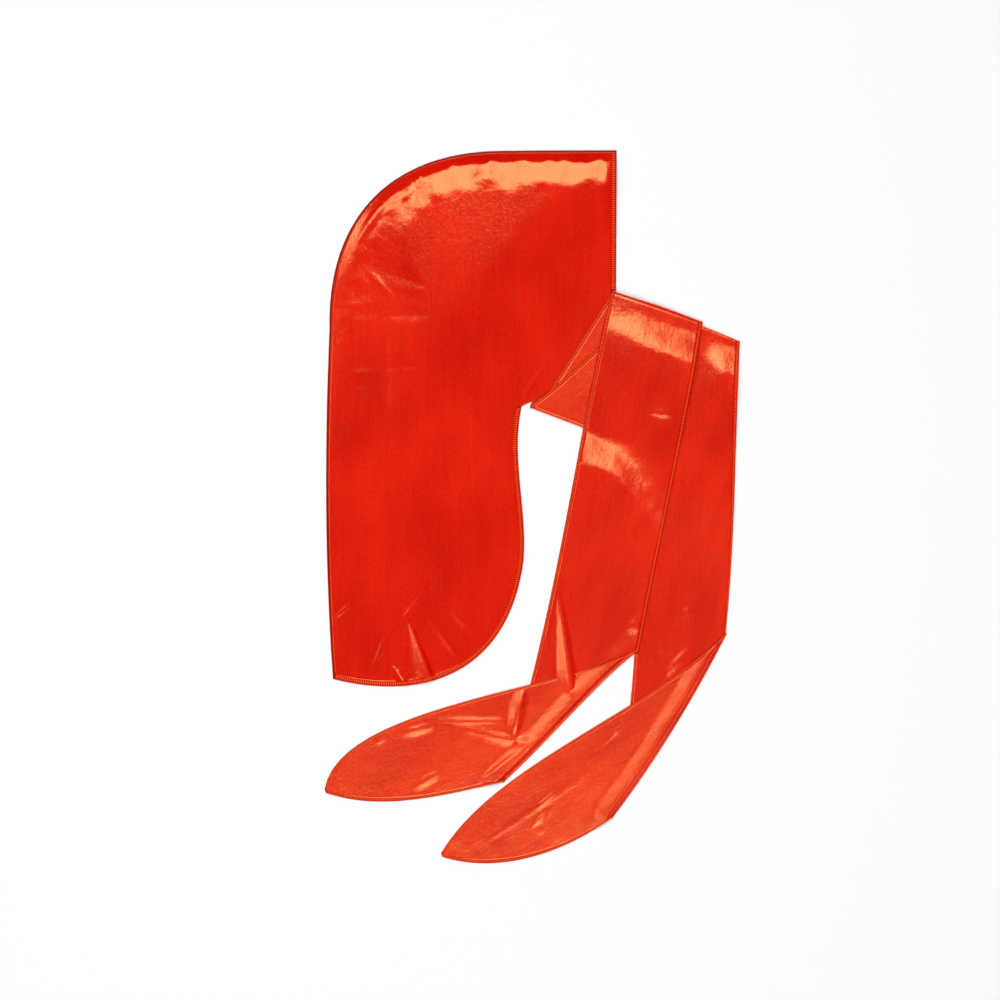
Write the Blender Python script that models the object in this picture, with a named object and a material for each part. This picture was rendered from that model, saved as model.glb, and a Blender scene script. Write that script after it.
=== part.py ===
"""Satin durag that lies on its side, folded along its centre seam.

Two side panels form the crown, neck and tail. The upper one stands hollow over the
flat lower one, and the front between them is open. Each panel carries one long
tapered tie, sewn along a slanted root, which is folded down, up, down again and
back on itself at its end. Plan sizes are in millimetres, +X towards the forehead
and +Y towards the crown; the surface that it lies on is z = 0.
"""

from collections import namedtuple

import bmesh
import bpy
import numpy as np

for old in list(bpy.data.objects):
    bpy.data.objects.remove(old, do_unlink=True)

MM = 0.001

# Cloth and how it is stacked
CLOTH = 1.0                # wall of every cloth piece
LAYER = 1.8                # height from one lying layer to the next
DRAPE = 50.0               # width over which a layer comes down beside the one under it
EDGE_ROOM = 2.5            # how far past an edge the layer above stays at full height
GAP = 0.3                  # gap between two pieces that are sewn together
HEM = 5.0                  # width of the front bands and of the tail hems
HEM_GAP = 0.5              # gap between a panel and its hem
SEAM_ROLL = 2.6            # diameter of the rolled centre seam
SEAM_ROOM = 3.4            # how far the panels stop short of the outer edge along the seam

# Hollow between the panels
PUFF = 8.5                 # how far the upper panel stands up over the head hollow
ROLL = 42.0                # width of the round shoulder along the crown and the back
EAR_FALL = 62.0            # width over which it comes down to the tail hem
ROOT_FALL = 80.0           # width over which it comes down to the tie's root
ROOT_FLAT = 13.0           # width beside the root that stays down
TAIL_END = -175.0          # where the tail ends, along Y
TAIL_FALL = 300.0          # length over which the tail comes down to its end

# Plan of a side panel: each edge is a curve with its two ends and two handles
FRONT_TOP = (84.0, 356.0)
ROOT_FRONT = (83.5, 215.5)
ROOT_REAR = (-10.5, 101.5)
CROWN_FLAT = (FRONT_TOP, (45.0, 356.0), (7.0, 356.0), (-32.0, 355.5))
CROWN_ROUND = ((-32.0, 355.5), (-142.0, 354.5), (-206.0, 289.0), (-203.0, 176.5))
BACK = ((-203.0, 176.5), (-208.0, 60.0), (-208.0, -57.0), (-199.5, -172.5))
TAIL_ROUND = ((-199.5, -172.5), (-97.5, -198.0), (-22.0, -158.0), (-9.0, -53.5))
EAR = ((-9.0, -53.5), (-5.0, -0.5), (-22.5, 50.0), ROOT_REAR)
ROOT = (ROOT_FRONT, (49.5, 175.5), (47.0, 116.5), ROOT_REAR)
FRONT = (FRONT_TOP, (83.8, 309.0), (83.6, 262.0), ROOT_FRONT)
CROWN_CORNER = 0.47        # share of CROWN_ROUND where the panel's mesh has its corner
TAIL_CORNER = 0.62         # share of TAIL_ROUND where it has the opposite one

# Main folds of the upper panel: a ridge from start to end
Ridge = namedtuple("Ridge", "x0 y0 x1 y1 width height")
PANEL_RIDGES = (
    Ridge(-139.0, 205.0, -137.0, 30.0, 20.0, 1.0),      # long soft fold down the back half
    Ridge(-162.0, 234.0, -138.0, 206.0, 13.0, 1.6),     # pull below the crown
    Ridge(-48.0, 187.0, -38.0, 146.0, 15.0, 0.9),       # two slanted folds at the ear
    Ridge(-72.0, 174.0, -58.0, 146.0, 15.0, 0.9),
    Ridge(13.0, 142.0, -8.0, 112.0, 9.0, 1.0),          # pull towards the tie's root
    Ridge(-127.0, -104.0, -99.0, -172.0, 13.0, 2.6),    # fan of folds in the tail
    Ridge(-116.0, -95.0, -88.0, -136.0, 12.0, 1.8),
    Ridge(-142.0, -122.0, -160.0, -164.0, 13.0, 1.5),
    Ridge(-88.0, -55.0, -103.0, -84.0, 12.0, 1.5),
    Ridge(-82.0, -104.0, -62.0, -126.0, 12.0, 1.2),
)

# Mesh steps of a panel: how many rows from each named place to the next
FRONT_ROWS = 10
ROOT_ROWS = 9
EAR_ROWS = 11
TAIL_ROWS = 8
PANEL_COLUMNS = 18
CROWDED = 1.5              # how much closer the mesh lines stand at the crown and the back
SETTLE = 14                # rounds that even out the mesh between its edges

# Ties. A fold is its outer line, from the rear edge to the front edge of the tie.
Fold = namedtuple("Fold", "rear rear_handle front_handle front")
# A run lies between two folds: two handles for its rear edge, two for its front edge.
Run = namedtuple("Run", "rear_in rear_out front_in front_out rows level")
Tie = namedtuple("Tie", "name root_end folds runs tip_rear tip_front")

UPPER_TIE = Tie(
    name="upper_tie",
    root_end=0.93,
    folds=(
        Fold((5.0, 99.3), (35.0, 88.0), (65.0, 76.7), (95.0, 65.3)),
        Fold((79.5, 216.2), (110.0, 206.0), (140.5, 195.5), (170.5, 184.5)),
        Fold((-29.5, -276.5), (14.0, -238.0), (73.0, -166.0), (107.5, -143.5)),
    ),
    runs=(
        Run((0.0, 103.0), (3.0, 101.0), (88.0, 164.0), (92.0, 113.0), 4, 1),
        Run((24.0, 126.0), (52.0, 172.0), (121.0, 100.0), (146.0, 142.0), 9, 2),
        Run((43.0, 62.0), (23.0, -112.0), (153.0, 76.0), (127.0, -32.0), 32, 5),
        Run((-87.0, -288.0), (-150.0, -306.0), (33.0, -184.0), (-193.0, -198.0), 16, 6),
    ),
    tip_rear=(-206.5, -286.5),
    tip_front=(-208.0, -282.5),
)
LOWER_TIE = Tie(
    name="lower_tie",
    root_end=0.93,
    folds=(
        Fold((-3.0, 98.7), (32.0, 85.4), (69.0, 71.4), (105.5, 57.5)),
        Fold((119.5, 197.8), (149.0, 188.0), (178.0, 178.6), (207.5, 164.5)),
        Fold((79.5, -312.5), (124.0, -254.0), (161.0, -193.0), (194.5, -127.5)),
    ),
    runs=(
        Run((-1.5, 103.5), (-1.5, 102.5), (91.0, 162.0), (99.0, 110.0), 4, 0),
        Run((40.0, 130.0), (75.0, 176.0), (139.0, 90.0), (176.0, 122.0), 9, 3),
        Run((95.0, 60.0), (121.0, -143.0), (202.0, 67.0), (203.0, -32.0), 32, 4),
        Run((30.0, -347.0), (-33.0, -368.0), (114.0, -207.0), (-37.0, -256.0), 16, 5),
    ),
    tip_rear=(-90.0, -350.5),
    tip_front=(-91.5, -346.5),
)
TIE_COLUMNS = 7
TOP_FOLD = 1               # the one fold that turns towards the crown
CLOSE_ROWS = 0.68          # share of a run's rows in the half of it that lies on other layers
TURN_ROWS = 6

SATIN = (0.745, 0.012, 0.003)
SATIN_UNDER = (0.60, 0.009, 0.003)
TIE_SATIN = (0.76, 0.026, 0.008)
HEM_THREAD = (0.82, 0.060, 0.010)


def cubic(curve, t):
    """Points of a curve with two ends and two handles."""
    start, first, second, end = np.asarray(curve, float)
    t = np.asarray(t, float)[:, None]
    s = 1.0 - t
    return s**3 * start + 3 * s * s * t * first + 3 * s * t * t * second + t**3 * end


def path_of(*curves, shares=None, steps=24):
    """One open line through curves that follow each other."""
    shares = shares or [(0.0, 1.0)] * len(curves)
    parts = []
    for curve, (begin, finish) in zip(curves, shares):
        part = cubic(curve, np.linspace(begin, finish, steps + 1))
        parts.append(part if not parts else part[1:])
    return np.vstack(parts)


def along(path, shares):
    """Points at given shares of a line's length."""
    lengths = np.r_[0.0, np.cumsum(np.linalg.norm(np.diff(path, axis=0), axis=1))]
    wanted = np.asarray(shares, float) * lengths[-1]
    return np.c_[np.interp(wanted, lengths, path[:, 0]), np.interp(wanted, lengths, path[:, 1])]


def nearest(points, path):
    """Nearest place on a line for each point, its distance and the line's direction."""
    start = path[:-1]
    run = path[1:] - start
    offset = points[:, None, :] - start[None]
    share = np.clip((offset * run).sum(2) / (run * run).sum(1), 0.0, 1.0)
    place = start + share[..., None] * run
    distance = np.linalg.norm(points[:, None] - place, axis=2)
    best = distance.argmin(axis=1)
    rows = np.arange(len(points))
    direction = run[best] / np.linalg.norm(run[best], axis=1)[:, None]
    return place[rows, best], distance[rows, best], direction


def distance_to(points, path):
    """Plan distance from each point to a line."""
    return nearest(points, path)[1]


def inside(points, outline):
    """Which points lie inside a closed outline."""
    following = np.roll(outline, -1, axis=0)
    x, y = points[:, 0, None], points[:, 1, None]
    crosses = (outline[:, 1] > y) != (following[:, 1] > y)
    rise = np.where(following[:, 1] == outline[:, 1], 1.0, following[:, 1] - outline[:, 1])
    at = outline[:, 0] + (y - outline[:, 1]) / rise * (following[:, 0] - outline[:, 0])
    return (crosses & (x < at)).sum(1) % 2 == 1


def ease(share):
    """Smooth step from 0 to 1."""
    share = np.clip(share, 0.0, 1.0)
    return share * share * (3.0 - 2.0 * share)


def push_in(points, path, room, side):
    """Move points that are closer than room to a line away from it, to its left (+1) or right."""
    place, _, direction = nearest(points, path)
    inward = np.c_[-direction[:, 1], direction[:, 0]] * side
    depth = ((points - place) * inward).sum(1)
    short = np.clip(room - depth, 0.0, None)
    close = distance_to(points, path) < room
    return points + inward * (short * close)[:, None]


def blend_edges(top, right, bottom, left, u, v):
    """Fill four edge lines with a net of points: u runs along top, v runs down the sides."""
    upper, lower = along(top, u)[None], along(bottom, u)[None]
    first, last = along(left, v)[:, None], along(right, v)[:, None]
    u = np.asarray(u)[None, :, None]
    v = np.asarray(v)[:, None, None]
    corners = ((1 - u) * (1 - v) * top[0] + u * (1 - v) * top[-1]
               + (1 - u) * v * bottom[0] + u * v * bottom[-1])
    return (1 - v) * upper + v * lower + (1 - u) * first + u * last - corners


SEAM_PATH = path_of(CROWN_FLAT, CROWN_ROUND, BACK)
TAIL_PATH = path_of(TAIL_ROUND, EAR)
ROOT_PATH = path_of(ROOT)
FRONT_PATH = path_of(FRONT)
PANEL_OUTLINE = np.vstack([SEAM_PATH, TAIL_PATH[1:], ROOT_PATH[::-1][1:], FRONT_PATH[::-1][1:-1]])


def panel_net():
    """Plan of a side panel's mesh, rows from crown to tail, columns from back to front."""
    top = path_of(CROWN_ROUND, CROWN_FLAT, shares=[(CROWN_CORNER, 0.0), (1.0, 0.0)])
    left = path_of(CROWN_ROUND, BACK, shares=[(CROWN_CORNER, 1.0), (0.0, 1.0)])
    bottom = path_of(TAIL_ROUND, shares=[(0.0, TAIL_CORNER)])
    sides = [
        FRONT_PATH,
        ROOT_PATH,
        path_of(EAR, shares=[(1.0, 0.0)]),
        path_of(TAIL_ROUND, shares=[(1.0, TAIL_CORNER)]),
    ]
    right = np.vstack([sides[0]] + [side[1:] for side in sides[1:]])
    lengths = [np.linalg.norm(np.diff(side, axis=0), axis=1).sum() for side in sides]
    marks = np.r_[0.0, np.cumsum(lengths)] / sum(lengths)
    rows = []
    for number, count in enumerate((FRONT_ROWS, ROOT_ROWS, EAR_ROWS, TAIL_ROWS)):
        shares = np.linspace(0.0, 1.0, count + 1)
        if number == 0:
            shares = shares**CROWDED
        rows.extend(marks[number] + (marks[number + 1] - marks[number]) * shares[:-1])
    rows.append(1.0)
    columns = np.linspace(0.0, 1.0, PANEL_COLUMNS + 1) ** CROWDED
    net = blend_edges(top, right, bottom, left, columns, rows)
    flat = net.reshape(-1, 2)
    flat = push_in(flat, SEAM_PATH, SEAM_ROOM, 1)
    flat = push_in(flat, FRONT_PATH, HEM + HEM_GAP, -1)
    flat = push_in(flat, TAIL_PATH, HEM + HEM_GAP, 1)
    net = flat.reshape(net.shape)
    for _ in range(SETTLE):
        around = net[:-2, 1:-1] + net[2:, 1:-1] + net[1:-1, :-2] + net[1:-1, 2:]
        net[1:-1, 1:-1] = around / 4.0
    return net


def tie_plan(tie, root_shift):
    """Plan of a tie's runs and the axis and outward direction of each of its folds."""
    root_t = np.linspace(tie.root_end, 0.0, 25)
    root = cubic(ROOT, root_t)
    direction = np.gradient(root, axis=0)
    direction /= np.linalg.norm(direction, axis=1)[:, None]
    root = root + np.c_[direction[:, 1], -direction[:, 0]] * root_shift
    tip = np.array([tie.tip_rear, tie.tip_front], float)
    turns = []
    for number, fold in enumerate(tie.folds):
        outer = path_of((fold.rear, fold.rear_handle, fold.front_handle, fold.front))
        low, high = tie.runs[number].level, tie.runs[number + 1].level
        radius = LAYER * (high - low) / 2.0
        chord = outer[-1] - outer[0]
        chord /= np.linalg.norm(chord)
        outward = np.array([-chord[1], chord[0]])
        if number != TOP_FOLD:
            outward = -outward
        axis = outer - outward * (radius + CLOTH / 2.0)
        turns.append((axis, outward))
    runs = []
    for number, run in enumerate(tie.runs):
        top = root if number == 0 else turns[number - 1][0]
        bottom = tip if number == len(turns) else turns[number][0]
        rear = path_of((top[0], run.rear_in, run.rear_out, bottom[0]))
        front = path_of((top[-1], run.front_in, run.front_out, bottom[-1]))
        runs.append((top, front, bottom, rear))
    return runs, turns


def run_outline(run):
    """Closed outline of one run."""
    top, front, bottom, rear = run
    return np.vstack([top, front[1:], bottom[::-1][1:], rear[::-1][1:-1]])


ROOT_GAP = CLOTH / 2.0 + GAP
UPPER_RUNS, UPPER_TURNS = tie_plan(UPPER_TIE, ROOT_GAP)
LOWER_RUNS, LOWER_TURNS = tie_plan(LOWER_TIE, ROOT_GAP)

# What lies on each level, from the surface up
LEVELS = (
    (PANEL_OUTLINE, run_outline(LOWER_RUNS[0])),
    (PANEL_OUTLINE, run_outline(UPPER_RUNS[0])),
    (run_outline(UPPER_RUNS[1]),),
    (run_outline(LOWER_RUNS[1]),),
    (run_outline(LOWER_RUNS[2]),),
    (run_outline(UPPER_RUNS[2]),),
)


def lying_height(points, level):
    """Height of the underside of a layer, draped over every layer below it."""
    height = np.zeros(len(points))
    for outlines in LEVELS[:level]:
        rise = np.zeros(len(points))
        for outline in outlines:
            closed = np.vstack([outline, outline[:1]])
            away = np.where(inside(points, outline), 0.0, distance_to(points, closed))
            rise = np.maximum(rise, ease(1.0 - (away - EDGE_ROOM) / DRAPE))
        height += LAYER * rise
    return height


def ridges(points, rows):
    """Height of a set of ridges, each a rounded fold that runs out at both ends."""
    height = np.zeros(len(points))
    for ridge in rows:
        start = np.array([ridge.x0, ridge.y0])
        line = np.array([ridge.x1, ridge.y1]) - start
        length = np.linalg.norm(line)
        line /= length
        run = (points - start) @ line
        side = (points - start) @ np.array([-line[1], line[0]])
        ends = ease(run / ridge.width + 0.5) * ease((length - run) / ridge.width + 0.5)
        height += ridge.height * ends * ease(1.0 - np.abs(side) / ridge.width)
    return height


def panel_lift(points):
    """How far the upper panel stands up over the hollow."""
    shoulder = 1.0 - np.clip(distance_to(points, SEAM_PATH) / ROLL, 0.0, 1.0)
    lift = PUFF * np.sqrt(1.0 - shoulder**2)
    lift *= ease(distance_to(points, TAIL_PATH) / EAR_FALL)
    lift *= ease((distance_to(points, ROOT_PATH) - ROOT_FLAT) / ROOT_FALL)
    lift *= ease((points[:, 1] - TAIL_END) / TAIL_FALL)
    return lift


def panel_middle(points, upper):
    """Height of the middle of a panel's cloth."""
    if not upper:
        return np.full(len(points), CLOTH / 2.0)
    return LAYER + CLOTH / 2.0 + panel_lift(points) + ridges(points, PANEL_RIDGES)


def material(name, colour, roughness):
    """Satin or thread."""
    made = bpy.data.materials.new(name)
    made.use_nodes = True
    shader = made.node_tree.nodes["Principled BSDF"]
    shader.inputs["Base Color"].default_value = (*colour, 1.0)
    shader.inputs["Roughness"].default_value = roughness
    shader.inputs["Metallic"].default_value = 0.0
    return made


def cloth_sheet(name, net, colour, thickness=CLOTH, roughness=0.32):
    """A sheet of cloth through a net of points, rows by columns, at the middle of its wall."""
    rows, columns = net.shape[:2]
    shape = bmesh.new()
    bmesh.ops.create_grid(shape, x_segments=columns - 1, y_segments=rows - 1, size=1.0)
    for vertex in shape.verts:
        column = round((vertex.co.x + 1.0) / 2.0 * (columns - 1))
        row = round((1.0 - vertex.co.y) / 2.0 * (rows - 1))
        vertex.co = net[row, column] * MM
    mesh = bpy.data.meshes.new(name)
    shape.to_mesh(mesh)
    shape.free()
    mesh.shade_smooth()
    piece = bpy.data.objects.new(name, mesh)
    bpy.context.scene.collection.objects.link(piece)
    wall = piece.modifiers.new("wall", "SOLIDIFY")
    wall.thickness = thickness * MM
    wall.offset = 0.0
    wall.use_even_offset = False
    mesh.materials.append(material(name + "_cloth", colour, roughness))
    return piece


def side_panel(name, upper, colour):
    """One half of the crown, neck and tail."""
    net = panel_net()
    height = panel_middle(net.reshape(-1, 2), upper).reshape(net.shape[:2])
    return cloth_sheet(name, np.dstack([net, height]), colour)


def edge_strip(name, path, side, upper, rows):
    """A folded hem that follows an edge of a panel."""
    spine = along(path, np.linspace(0.0, 1.0, rows + 1))
    direction = np.gradient(spine, axis=0)
    direction /= np.linalg.norm(direction, axis=1)[:, None]
    inward = np.c_[-direction[:, 1], direction[:, 0]] * side
    net = np.stack([spine + inward * HEM * share for share in (0.0, 0.5, 1.0)], axis=1)
    height = panel_middle(net.reshape(-1, 2), upper).reshape(net.shape[:2])
    return cloth_sheet(name, np.dstack([net, height]), HEM_THREAD, roughness=0.45)


def front_band(name, upper):
    """Hem across the forehead, from under the centre seam to the tie's root."""
    length = FRONT_TOP[1] - ROOT_FRONT[1]
    span = np.linspace(SEAM_ROOM / length, 1.0 - GAP / length, 25)
    return edge_strip(name, along(FRONT_PATH, span), -1, upper, 14)


def tail_hem(name, upper):
    """Hem round the tail and up to the notch."""
    length = np.linalg.norm(np.diff(TAIL_PATH, axis=0), axis=1).sum()
    span = np.linspace(SEAM_ROOM / length, 1.0 - HEM / 2.0 / length, 60)
    return edge_strip(name, along(TAIL_PATH, span), 1, upper, 34)


def centre_seam():
    """Rolled seam that joins the panels along crown, back and tail."""
    spine = along(SEAM_PATH, np.linspace(0.0, 1.0, 61))
    direction = np.gradient(spine, axis=0)
    direction /= np.linalg.norm(direction, axis=1)[:, None]
    spine = spine + np.c_[-direction[:, 1], direction[:, 0]] * SEAM_ROLL / 2.0
    curve = bpy.data.curves.new("centre_seam", "CURVE")
    curve.dimensions = "3D"
    curve.bevel_depth = SEAM_ROLL / 2.0 * MM
    curve.bevel_resolution = 2
    curve.use_fill_caps = True
    spline = curve.splines.new("POLY")
    spline.points.add(len(spine) - 1)
    for point, (x, y) in zip(spline.points, spine):
        point.co = (x * MM, y * MM, (CLOTH + LAYER) / 2.0 * MM, 1.0)
    piece = bpy.data.objects.new("centre_seam", curve)
    bpy.context.scene.collection.objects.link(piece)
    curve.materials.append(material("centre_seam_thread", HEM_THREAD, 0.45))
    return piece


def folded_tie(tie, runs, turns, colour):
    """A tie as one sheet: its runs, and a round turn at each fold between them."""
    columns = np.linspace(0.0, 1.0, TIE_COLUMNS + 1)
    rows = []
    for number, (run, edges) in enumerate(zip(tie.runs, runs)):
        steps = np.linspace(0.0, 1.0, run.rows + 1)
        shares = np.interp(steps, (0.0, CLOSE_ROWS, 1.0), (0.0, 0.5, 1.0))
        net = blend_edges(*edges, columns, shares)
        height = lying_height(net.reshape(-1, 2), run.level).reshape(net.shape[:2])
        layer = np.dstack([net, height + CLOTH / 2.0])
        rows.extend(layer)
        if number == len(turns):
            break
        axis, outward = turns[number]
        line = along(axis, columns)
        low = lying_height(line, run.level) + CLOTH / 2.0
        high = lying_height(line, tie.runs[number + 1].level) + CLOTH / 2.0
        radius = (high - low) / 2.0
        for angle in np.linspace(0.0, np.pi, TURN_ROWS + 1)[1:-1]:
            bulge = (radius * np.sin(angle))[:, None] * outward
            rows.append(np.c_[line + bulge, low + radius * (1.0 - np.cos(angle))])
    return cloth_sheet(tie.name, np.array(rows), colour)


side_panel("lower_panel", False, SATIN_UNDER)
side_panel("upper_panel", True, SATIN)
centre_seam()
front_band("lower_front_band", False)
front_band("upper_front_band", True)
tail_hem("lower_tail_hem", False)
tail_hem("upper_tail_hem", True)
folded_tie(LOWER_TIE, LOWER_RUNS, LOWER_TURNS, TIE_SATIN)
folded_tie(UPPER_TIE, UPPER_RUNS, UPPER_TURNS, TIE_SATIN)
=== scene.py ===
"""A satin durag lying on its side on a white table, seen from straight above.

Plan sizes are in millimetres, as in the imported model: +X to the forehead edge, +Y to
the crown, and z = 0 where it lies. Each section makes one piece and its finish.
"""

from collections import namedtuple

import bmesh
import bpy
import numpy as np
from mathutils import Matrix, Vector, noise


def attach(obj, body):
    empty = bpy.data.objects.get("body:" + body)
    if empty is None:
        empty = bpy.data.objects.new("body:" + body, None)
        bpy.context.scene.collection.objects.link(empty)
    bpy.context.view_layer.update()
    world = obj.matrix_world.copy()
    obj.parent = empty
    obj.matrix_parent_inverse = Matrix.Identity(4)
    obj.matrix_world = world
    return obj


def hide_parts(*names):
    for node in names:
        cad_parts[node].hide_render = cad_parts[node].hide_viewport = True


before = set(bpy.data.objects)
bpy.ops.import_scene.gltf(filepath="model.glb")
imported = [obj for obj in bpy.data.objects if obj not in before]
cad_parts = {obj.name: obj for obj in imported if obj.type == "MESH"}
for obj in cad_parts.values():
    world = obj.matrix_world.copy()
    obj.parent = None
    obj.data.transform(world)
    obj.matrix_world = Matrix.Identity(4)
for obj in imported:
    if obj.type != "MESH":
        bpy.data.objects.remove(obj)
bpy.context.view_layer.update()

# Lower side panel
# The far half of the durag: one panel of polyester satin, flat on the table.
# It is cut to the same curves as the upper one, and sewn to it along the crown and back.

MM = 0.001
FINE = 1.0
LOWER_CELL = 5.0 * FINE                    # side of a mesh cell of the hidden panel
SATIN_WALL = 0.5
CAD_WALL = 1.0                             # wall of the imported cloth, whose middle the satin keeps
LAYER = 1.8                                # height from one lying layer to the next
HEM = 5.0                                  # width of the front bands, tail hems and tie hems
HEM_TUCK = 0.8                             # how far a sheet reaches into its hem
SEAM_ROOM = 2.0                            # how far the panels stop short of the outer edge

FRONT_TOP = (84.0, 356.0)
ROOT_FRONT = (83.5, 215.5)
ROOT_REAR = (-10.5, 101.5)
CROWN_FLAT = (FRONT_TOP, (45.0, 356.0), (7.0, 356.0), (-32.0, 355.5))
CROWN_ROUND = ((-32.0, 355.5), (-142.0, 354.5), (-206.0, 289.0), (-203.0, 176.5))
BACK = ((-203.0, 176.5), (-208.0, 60.0), (-208.0, -57.0), (-199.5, -172.5))
TAIL_ROUND = ((-199.5, -172.5), (-97.5, -198.0), (-22.0, -158.0), (-9.0, -53.5))
EAR = ((-9.0, -53.5), (-5.0, -0.5), (-22.5, 50.0), ROOT_REAR)
ROOT = (ROOT_FRONT, (49.5, 175.5), (47.0, 116.5), ROOT_REAR)
FRONT = (FRONT_TOP, (83.8, 309.0), (83.6, 262.0), ROOT_FRONT)
CROWN_CORNER = 0.47                        # share of CROWN_ROUND where the mesh has its corner
TAIL_CORNER = 0.62                         # share of TAIL_ROUND where it has the opposite one
SETTLE = 60                                # rounds that even out the mesh between its edges
CURVE_STEPS = 24                           # straight steps that stand for one curve
COLOR_A, COLOR_B, COLOR_MIXED = 6, 7, 2    # the Mix node's colour sockets


def cubic(curve, t):
    """Points of a curve with two ends and two handles."""
    start, first, second, end = np.asarray(curve, float)
    t = np.asarray(t, float)[:, None]
    s = 1.0 - t
    return s**3 * start + 3 * s * s * t * first + 3 * s * t * t * second + t**3 * end


def path_of(*curves, shares=None):
    """One open line through curves that follow each other."""
    shares = shares or [(0.0, 1.0)] * len(curves)
    parts = []
    for curve, (begin, finish) in zip(curves, shares):
        part = cubic(curve, np.linspace(begin, finish, CURVE_STEPS + 1))
        parts.append(part if not parts else part[1:])
    return np.vstack(parts)


def measured(path):
    """Distance along a line at each of its points."""
    return np.r_[0.0, np.cumsum(np.linalg.norm(np.diff(path, axis=0), axis=1))]


def at_lengths(path, wanted, values=None):
    """Points of a line, or values that go with its points, at given distances along it."""
    lengths = measured(path)
    values = path if values is None else values
    return np.stack([np.interp(wanted, lengths, values[:, k]) for k in range(values.shape[1])], axis=1)


def along(path, shares):
    """Points at given shares of a line's length."""
    return at_lengths(path, np.asarray(shares, float) * measured(path)[-1])


def nearest(points, path):
    """Nearest place on a line for each point: the place, its distance, the line's direction there
    and how far along the line it is."""
    start = path[:-1]
    run = path[1:] - start
    offset = points[:, None, :] - start[None]
    share = np.clip((offset * run).sum(2) / (run * run).sum(1), 0.0, 1.0)
    place = start + share[..., None] * run
    distance = np.linalg.norm(points[:, None] - place, axis=2)
    best = distance.argmin(axis=1)
    rows = np.arange(len(points))
    direction = run[best] / np.linalg.norm(run[best], axis=1)[:, None]
    length = measured(path)[best] + share[rows, best] * np.linalg.norm(run[best], axis=1)
    return place[rows, best], distance[rows, best], direction, length


def distance_to(points, path):
    """Plan distance from each point to a line."""
    return nearest(points, path)[1]


def ease(share):
    """Smooth step from 0 to 1."""
    share = np.clip(share, 0.0, 1.0)
    return share * share * (3.0 - 2.0 * share)


def push_in(points, path, room, side):
    """Move points that are too close to an edge away from it, to its left (+1) or right (-1)."""
    place, distance, direction, _ = nearest(points, path)
    inward = np.c_[-direction[:, 1], direction[:, 0]] * side
    depth = ((points - place) * inward).sum(1)
    short = np.clip(room - depth, 0.0, None) * (distance < room)
    return points + inward * short[:, None]


def fill_net(top, right, bottom, left, u, v):
    """Net of points between four rows of edge points: u runs along the top, v down the sides."""
    u = np.asarray(u)[None, :, None]
    v = np.asarray(v)[:, None, None]
    corners = ((1 - u) * (1 - v) * top[0] + u * (1 - v) * top[-1]
               + (1 - u) * v * bottom[0] + u * v * bottom[-1])
    return (1 - v) * top[None] + v * bottom[None] + (1 - u) * left[:, None] + u * right[:, None] - corners


SEAM_PATH = path_of(CROWN_FLAT, CROWN_ROUND, BACK)
TAIL_PATH = path_of(TAIL_ROUND, EAR)
ROOT_PATH = path_of(ROOT)
FRONT_PATH = path_of(FRONT)
PANEL_OUTLINE = np.vstack([SEAM_PATH, TAIL_PATH[1:], ROOT_PATH[::-1][1:], FRONT_PATH[::-1][1:-1]])


def panel_net(cell):
    """Plan of a side panel's mesh, rows from crown to tail, columns from back to front."""
    top = path_of(CROWN_ROUND, CROWN_FLAT, shares=[(CROWN_CORNER, 0.0), (1.0, 0.0)])
    left = path_of(CROWN_ROUND, BACK, shares=[(CROWN_CORNER, 1.0), (0.0, 1.0)])
    bottom = path_of(TAIL_ROUND, shares=[(0.0, TAIL_CORNER)])
    sides = [FRONT_PATH, ROOT_PATH, path_of(EAR, shares=[(1.0, 0.0)]),
             path_of(TAIL_ROUND, shares=[(1.0, TAIL_CORNER)])]
    right = np.vstack([sides[0]] + [side[1:] for side in sides[1:]])
    lengths = np.array([measured(side)[-1] for side in sides])
    marks = np.r_[0.0, np.cumsum(lengths)] / lengths.sum()
    rows = [0.0]
    for number, length in enumerate(lengths):
        rows.extend(np.linspace(marks[number], marks[number + 1], round(length / cell) + 1)[1:])
    columns = np.linspace(0.0, 1.0, round(measured(top)[-1] / cell) + 1)
    edges = []
    for path, shares in ((top, columns), (right, rows), (bottom, columns), (left, rows)):
        edge = push_in(along(path, shares), SEAM_PATH, SEAM_ROOM, 1)
        edge = push_in(edge, FRONT_PATH, HEM - HEM_TUCK, -1)
        edges.append(push_in(edge, TAIL_PATH, HEM - HEM_TUCK, 1))
    net = fill_net(*edges, columns, rows)
    for _ in range(SETTLE):
        around = net[:-2, 1:-1] + net[2:, 1:-1] + net[1:-1, :-2] + net[1:-1, 2:]
        net[1:-1, 1:-1] = around / 4.0
    return net


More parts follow.
